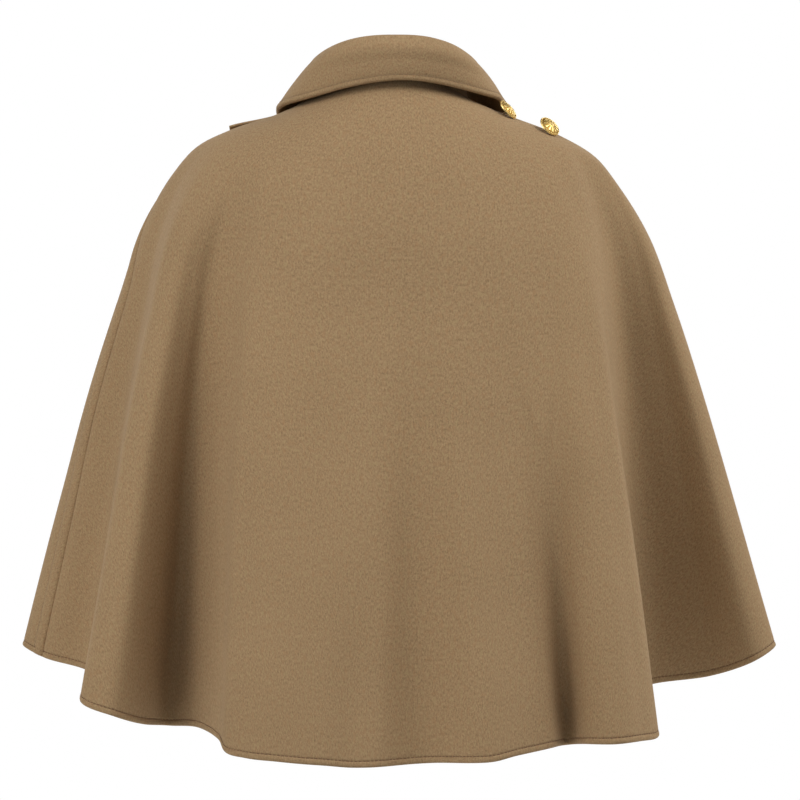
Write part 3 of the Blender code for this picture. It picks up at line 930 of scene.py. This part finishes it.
def overPlace(x, y, firstBearing, firstShare=0.1, rounds=20):
    # bearing and share of the place on a shoulder above or below (x, y)
    target = np.stack([x, y], -1)
    bearing, share = np.full(x.shape, float(firstBearing)), np.full(x.shape, firstShare)
    for _ in range(rounds):
        miss = target - capePoint(bearing, share)[..., :2]
        turn, slide = (slope[..., :2] for slope in slopesOf(capePoint, bearing, share))
        size = turn[..., 0] * slide[..., 1] - turn[..., 1] * slide[..., 0]
        bearing = bearing + (miss[..., 0] * slide[..., 1] - miss[..., 1] * slide[..., 0]) / size
        share = share + (turn[..., 0] * miss[..., 1] - turn[..., 1] * miss[..., 0]) / size
    return bearing, share


def finedLine(start, end, step):
    # places from start to end, closer together at both ends
    length = abs(end - start)
    count = round((length - 2 * fineSteps[-1]) / step)
    between = np.linspace(fineSteps[-1], length - fineSteps[-1], count + 1)[1:-1]
    stops = np.concatenate([fineSteps, between, length - fineSteps[::-1]])
    return start + np.sign(end - start) * stops


def tabSurface(x, y):
    bearing, share = overPlace(x, y, 90)
    across, along = slopesOf(capePoint, bearing, share)
    reach = (x - tabSettings["start"]) / (tabSettings["end"] - tabSettings["start"])
    gap = tabSettings["space"] + tabSettings["spring"] * reach**2
    return capePoint(bearing, share), normalOf(across, along), gap


def makeTab():
    settings = tabSettings
    reach = finedLine(settings["start"], settings["end"], settings["step"])
    width = finedLine(settings["back"], settings["front"], settings["step"])
    y, x = np.meshgrid(width, reach)
    points, normal, gap = tabSurface(x, y)
    fromSides = np.minimum(settings["back"] - y, y - settings["front"])
    fromEnd = settings["end"] - x
    fromEdge = np.minimum(fromSides, fromEnd)
    bead = turnedBand(fromEdge, collarTurn)[0] * settings["beadShare"]
    shape = roundOff(np.minimum(fromEdge, x - settings["start"]))
    outer = gap + clothSettings["thick"] + bead
    cut = np.stack([y, -x], -1)
    piece = makeShell("tabCloth", points, normal, outer, gap, shape, cut, woolFinish)
    return wornAs(piece, "shoulder_tab")


def sewTab():
    # one row round the three free sides
    settings, inset = tabSettings, collarTurn["stitchAt"]
    back, front = settings["back"] - inset, settings["front"] + inset
    start, end = settings["start"] + inset, settings["end"] - inset
    corners = np.array(((start, back), (end, back), (end, front), (start, front)))
    count = sampleCounts["tabSide"]
    sides = [np.linspace(a, b, count, endpoint=False) for a, b in zip(corners, corners[1:])]
    x, y = np.concatenate(sides).T
    points, normal, gap = tabSurface(x, y)
    dip = settings["beadShare"] * collarTurn["dip"]
    height = gap + clothSettings["thick"] - dip + threadSettings["seat"]
    return sewRow("tabSewing", points + normal * height[:, None], normal, toneFinish)


tab = makeTab()
tabSewing = [sewTab()]
print("shoulder tab made")


# domed shank buttons with a beaded rim and a plain rosette
buttonSettings = {
    "radius": 10.0 * mm,
    "edge": 1.8 * mm,
    "dome": 2.4 * mm,
    "face": 0.86,
    "groove": 0.3 * mm,
    "shank": 3.8 * mm,
    "shankRadius": 1.6 * mm,
    "shankSpace": 0.2 * mm,
    "segments": 48,
    "backReach": 0.8,               # reaches are shares of the radius
    "rimReach": 0.97,
    "domeSteps": (0.76, 0.62, 0.46, 0.30, 0.16),
    "knobWidth": 0.03,
    "knobRise": 0.35 * mm,
    "petals": 12,
    "petalReach": (0.30, 0.80),
    "petalPhase": (0.25, 0.75),
    "petalBevel": 0.22 * mm,
    "petalRise": 0.45 * mm,
    "beads": 40,
    "beadRadius": 0.52 * mm,
    "beadFlat": 0.85,
    "beadReach": 0.915,
    "beadSegments": 10,
    "beadRings": 6,
    "loopRadius": 1.75 * mm,
    "loopWire": 0.45 * mm,
    "loopDrop": 1.2 * mm,
    "loopSegments": 24,
    "wireSegments": 8,
    "wornDepth": 0.4 * mm,
    "wornMargin": 0.05 * mm,
    "alwaysWorn": (0.2, 0.95),      # inside the first reach and outside the second
}
# thread wound round each shank, in turns that bulge and narrow
wrapSettings = {
    "sides": 14,
    "radius": 1.25 * mm,
    "foot": -1.2 * mm,
    "step": 0.28 * mm,
    "swell": (1.16, 0.84),
    "turns": 3,
}
smoothAngle = math.radians(38)
# where each is sewn on, and the degrees that it hangs over away from the neck and leans back
buttonRows = (
    {"x": -93.0 * mm, "y": 28.0 * mm, "droop": 23.0, "turn": 15.0},
    {"x": -130.0 * mm, "y": 25.0 * mm, "droop": 12.0, "turn": 26.0},
)


def deselectAll():
    bpy.ops.object.select_all(action="DESELECT")


def newPiece(add, **shape):
    deselectAll()
    add(**shape)
    bpy.ops.object.transform_apply(location=True, rotation=True, scale=True)
    return bpy.context.object


def editAll():
    bpy.ops.object.mode_set(mode="EDIT")
    bpy.ops.mesh.select_all(action="SELECT")


def closeEdit():
    bpy.ops.mesh.select_all(action="SELECT")
    bpy.ops.mesh.normals_make_consistent(inside=False)
    bpy.ops.object.mode_set(mode="OBJECT")


def pickFaces(test):
    bpy.ops.object.mode_set(mode="OBJECT")
    for polygon in bpy.context.object.data.polygons:
        polygon.select = bool(test(polygon.center))
    bpy.ops.object.mode_set(mode="EDIT")
    bpy.ops.mesh.select_mode(type="FACE")


def pushOut(rise, scale):
    bpy.ops.mesh.extrude_region_move(TRANSFORM_OT_translate={"value": (0, 0, rise)})
    bpy.ops.transform.resize(value=(scale, scale, 1))


def modelButton(settings):
    radius, rim = settings["radius"], settings["shank"] + settings["edge"]
    button = newPiece(
        bpy.ops.mesh.primitive_circle_add, vertices=settings["segments"],
        radius=settings["backReach"] * radius, fill_type="NGON", location=(0, 0, settings["shank"])
    )
    editAll()
    pushOut(settings["edge"] / 2, 1 / settings["backReach"])
    pushOut(settings["edge"] / 2, settings["rimReach"])
    rimWidth = (settings["rimReach"] - settings["face"]) * radius
    bpy.ops.mesh.inset(thickness=rimWidth, depth=-settings["groove"])
    now, height = settings["face"], rim - settings["groove"]
    for part in settings["domeSteps"]:
        rise = rim + settings["dome"] * (1 - (part / settings["face"]) ** 2) - height
        bpy.ops.mesh.inset(thickness=(now - part) * radius, depth=rise)
        now, height = part, height + rise
    bpy.ops.mesh.inset(thickness=settings["knobWidth"] * radius, depth=settings["knobRise"])
    sector = math.tau / settings["petals"]
    nearest, farthest = settings["petalReach"]
    firstPhase, lastPhase = settings["petalPhase"]

    def onPetal(centre):
        reach = math.hypot(centre.x, centre.y) / radius
        phase = (math.atan2(centre.y, centre.x) % sector) / sector
        return nearest < reach < farthest and centre.z > rim and firstPhase < phase < lastPhase

    pickFaces(onPetal)
    bpy.ops.mesh.inset(thickness=settings["petalBevel"], depth=settings["petalRise"])
    closeEdit()
    return button


def copyOf(piece):
    copy = piece.copy()
    copy.data = piece.data.copy()
    bpy.context.scene.collection.objects.link(copy)
    return copy


def modelBeads(settings):
    # one bead, copied round the rim
    rim = settings["shank"] + settings["edge"]
    bead = newPiece(
        bpy.ops.mesh.primitive_uv_sphere_add, segments=settings["beadSegments"],
        ring_count=settings["beadRings"], radius=settings["beadRadius"],
        location=(settings["beadReach"] * settings["radius"], 0, rim)
    )
    editAll()
    bpy.ops.transform.resize(value=(1, 1, settings["beadFlat"]), center_override=(0, 0, rim))
    bpy.ops.object.mode_set(mode="OBJECT")
    beads = [bead] + [copyOf(bead) for _ in range(1, settings["beads"])]
    for k, other in enumerate(beads):
        other.data.transform(Matrix.Rotation(math.tau * k / settings["beads"], 4, "Z"))
    return beads


def modelLoop(settings):
    return newPiece(
        bpy.ops.mesh.primitive_torus_add,
        major_radius=settings["loopRadius"], minor_radius=settings["loopWire"],
        major_segments=settings["loopSegments"], minor_segments=settings["wireSegments"],
        location=(0, 0, settings["shank"] - settings["loopDrop"]), rotation=(math.radians(90), 0, 0)
    )


def markRaised(piece, settings):
    # 1 on what a cloth would polish, 0 down in the grooves
    rim = settings["shank"] + settings["edge"]
    knob, edge = settings["alwaysWorn"]
    worn = piece.data.attributes.new("raised", "FLOAT", "POINT")
    for spot, value in zip(piece.data.vertices, worn.data):
        reach = math.hypot(spot.co.x, spot.co.y) / settings["radius"]
        dome = rim + settings["dome"] * (1 - (min(reach, settings["face"]) / settings["face"]) ** 2)
        height = (spot.co.z - dome + settings["wornMargin"]) / settings["wornDepth"]
        value.value = 1.0 if reach > edge or reach < knob else min(1.0, max(0.0, height))


def modelShankThread(settings):
    wrap = newPiece(
        bpy.ops.mesh.primitive_circle_add, vertices=settings["sides"],
        radius=settings["radius"], fill_type="NGON", location=(0, 0, settings["foot"])
    )
    editAll()
    for swell in settings["swell"] * settings["turns"]:
        pushOut(settings["step"], swell)
        pushOut(settings["step"], 1.0)
    closeEdit()
    return wrap


def buttonPlace(settings, row):
    bearing, share = overPlace(np.array([row["x"]]), np.array([row["y"]]), -90)
    across, along = slopesOf(capePoint, bearing, share)
    normal = Vector(normalOf(across, along)[0])
    axis = Matrix.Rotation(math.radians(-row["droop"]), 3, "Y") @ normal
    axis = Matrix.Rotation(math.radians(-row["turn"]), 3, "X") @ axis
    seat = settings["shankSpace"] + settings["shankRadius"] * math.sin(normal.angle(axis))
    foot = Vector(capePoint(bearing, share)[0]) + normal * seat
    return Matrix.Translation(foot) @ axis.to_track_quat("Z", "Y").to_matrix().to_4x4()


def settle(piece, name, place, finish):
    piece.name = piece.data.name = name
    piece.data.materials.clear()
    piece.data.materials.append(finish)
    deselectAll()
    piece.select_set(True)
    bpy.context.view_layer.objects.active = piece
    bpy.ops.object.shade_smooth_by_angle(angle=smoothAngle)
    piece.data.transform(place)
    return piece


def assembleButton(settings):
    button = modelButton(settings)
    others = modelBeads(settings) + [modelLoop(settings)]
    deselectAll()
    for piece in others + [button]:
        piece.select_set(True)
    bpy.context.view_layer.objects.active = button
    bpy.ops.object.join()
    markRaised(button, settings)
    return button


firstButton, firstWrap = assembleButton(buttonSettings), modelShankThread(wrapSettings)
buttons, wraps = [firstButton, copyOf(firstButton)], [firstWrap, copyOf(firstWrap)]
for number, row in enumerate(buttonRows):
    place = buttonPlace(buttonSettings, row)
    button = settle(buttons[number], f"giltButton_{number + 1}", place, giltFinish)
    wornAs(button, f"button_{number + 1}")
    wornAs(settle(wraps[number], f"buttonThread_{number + 1}", place, toneFinish), None)
print("buttons made")


# pale floor far below the hem, and soft studio light
stageSettings = {
    "floorHeight": -1.42,
    "floorSize": 11.0,
    "floorColour": (0.80, 0.79, 0.77, 1),
    "floorShade": (0.72, 0.71, 0.70, 1),
    "floorGlow": (0.30, 0.297, 0.29, 1),    # pale to the eye, with no light thrown up
    "patches": (1.5, 2.0, 0.5),
    "patchAmount": 0.1,
    "floorRoughness": 0.8,
    "backdrop": (1.0, 1.0, 1.0, 1),
    "ambient": (0.35, 0.65, 1.0, 1),
    "ambientStrength": 0.06,
}
# columns: name, at, size, power
lightRows = (
    ("leftHigh", (1.35, 1.60, 1.55), 1.3, 32),
    ("rightHigh", (-1.35, 1.60, 1.55), 1.3, 20),
    ("rightSide", (-2.00, 0.55, 1.55), 1.3, 34),
    ("leftLow", (2.15, 1.80, -0.05), 1.3, 14),
    ("leftRim", (2.70, 0.70, -0.05), 1.3, 11),
    ("rightRim", (-2.75, -0.50, -0.05), 1.3, 14),
    ("frontLeft", (1.80, -2.20, 0.80), 1.6, 28),
    ("frontRight", (-1.80, -2.20, 0.80), 1.6, 28),
)
lightAim = Vector((0, 0, -0.3))


def makeFloor(settings):
    finish = Finish("paleFloor")
    place = finish.node("ShaderNodeTexCoord", out="Object")
    patches = finish.noise(place, *settings["patches"]) * settings["patchAmount"]
    seen = finish.node("ShaderNodeLightPath", out="Is Camera Ray")
    finish.shade({
        "Base Color": finish.mixColour(patches, settings["floorColour"], settings["floorShade"]),
        "Roughness": settings["floorRoughness"],
        "Emission Color": finish.mixColour(seen, (0, 0, 0, 1), settings["floorGlow"]),
        "Emission Strength": 1.0,
    })
    at = (0, 0, settings["floorHeight"])
    floor = newPiece(bpy.ops.mesh.primitive_plane_add, size=settings["floorSize"], location=at)
    floor.name = "floor"
    floor.data.materials.append(finish.material)


def makeWorld(settings):
    world = bpy.data.worlds.new("studio")
    bpy.context.scene.world = world
    world.use_nodes = True
    tree = world.node_tree
    ambient = tree.nodes["Background"]
    ambient.inputs["Color"].default_value = settings["ambient"]
    ambient.inputs["Strength"].default_value = settings["ambientStrength"]
    backdrop = tree.nodes.new("ShaderNodeBackground")
    backdrop.inputs["Color"].default_value = settings["backdrop"]
    seen = tree.nodes.new("ShaderNodeLightPath")
    mix = tree.nodes.new("ShaderNodeMixShader")
    tree.links.new(seen.outputs["Is Camera Ray"], mix.inputs[0])
    tree.links.new(ambient.outputs[0], mix.inputs[1])
    tree.links.new(backdrop.outputs[0], mix.inputs[2])
    tree.links.new(mix.outputs[0], tree.nodes["World Output"].inputs["Surface"])


def makeLight(name, at, size, power):
    lamp = bpy.data.lights.new(name, "AREA")
    lamp.size = size
    lamp.energy = power
    light = bpy.data.objects.new(name, lamp)
    light.location = at
    light.rotation_euler = (lightAim - Vector(at)).to_track_quat("-Z", "Y").to_euler()
    bpy.context.scene.collection.objects.link(light)


makeFloor(stageSettings)
makeWorld(stageSettings)
for row in lightRows:
    makeLight(*row)
bpy.context.scene.view_settings.view_transform = "Standard"
print("floor and lights set")
